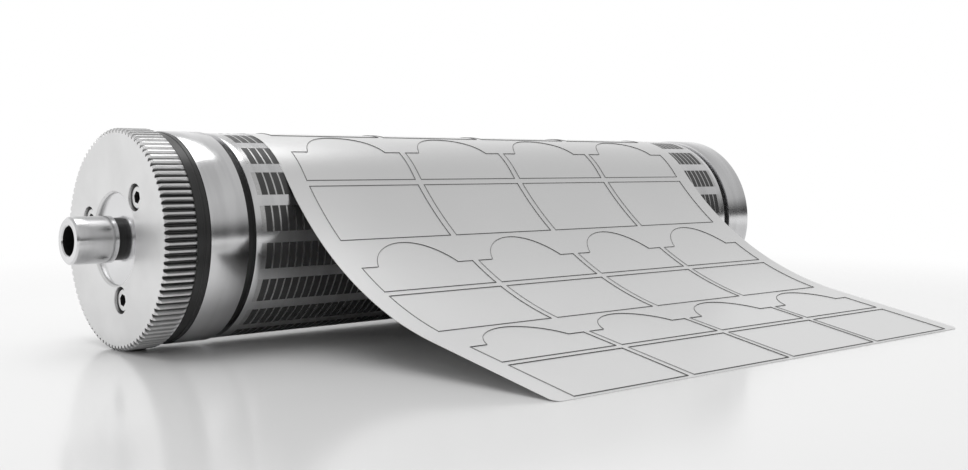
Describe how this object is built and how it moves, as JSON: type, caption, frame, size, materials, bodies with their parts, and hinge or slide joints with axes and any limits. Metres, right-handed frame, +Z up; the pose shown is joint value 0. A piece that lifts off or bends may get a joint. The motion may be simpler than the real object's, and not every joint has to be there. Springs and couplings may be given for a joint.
{
  "type": "magnetic die cylinder",
  "caption": "Geared magnetic die cylinder for rotary label cutting, with bearers, journals and inlaid magnet rows, and its flexible steel die held on it and running down to the bench.",
  "frame": {"origin": "on the cylinder's axis, at the end face of the drive journal", "axes": "+X along the axis towards the operator's side, +Z up, -Y the side to which the flexible die runs down"},
  "size_m": [0.4563, 0.2598, 0.099],
  "materials": {
    "ground_steel": "cylindrically ground and polished",
    "gear_steel": "satin, hobbed teeth",
    "screw_steel": "bright turned heads",
    "black_ring": "black oxide, satin",
    "magnet_bars": "dark magnets between ground steel pole plates",
    "die_steel": "satin sheet steel with etched cutting lines"
  },
  "bodies": {
    "root": {"cylinder_body": "ground_steel", "drive_gear": "gear_steel", "gear_screws": "screw_steel", "spacer_ring": "black_ring", "flexible_die": "die_steel", "magnet_row_01": "magnet_bars", "magnet_row_02": "magnet_bars", "magnet_row_03": "magnet_bars", "magnet_row_04": "magnet_bars", "magnet_row_05": "magnet_bars", "magnet_row_06": "magnet_bars", "magnet_row_07": "magnet_bars", "magnet_row_08": "magnet_bars", "magnet_row_09": "magnet_bars", "magnet_row_10": "magnet_bars", "magnet_row_11": "magnet_bars", "magnet_row_12": "magnet_bars", "magnet_row_13": "magnet_bars", "magnet_row_14": "magnet_bars", "magnet_row_15": "magnet_bars", "magnet_row_16": "magnet_bars", "magnet_row_17": "magnet_bars", "magnet_row_18": "magnet_bars"}
  },
  "joints": []
}
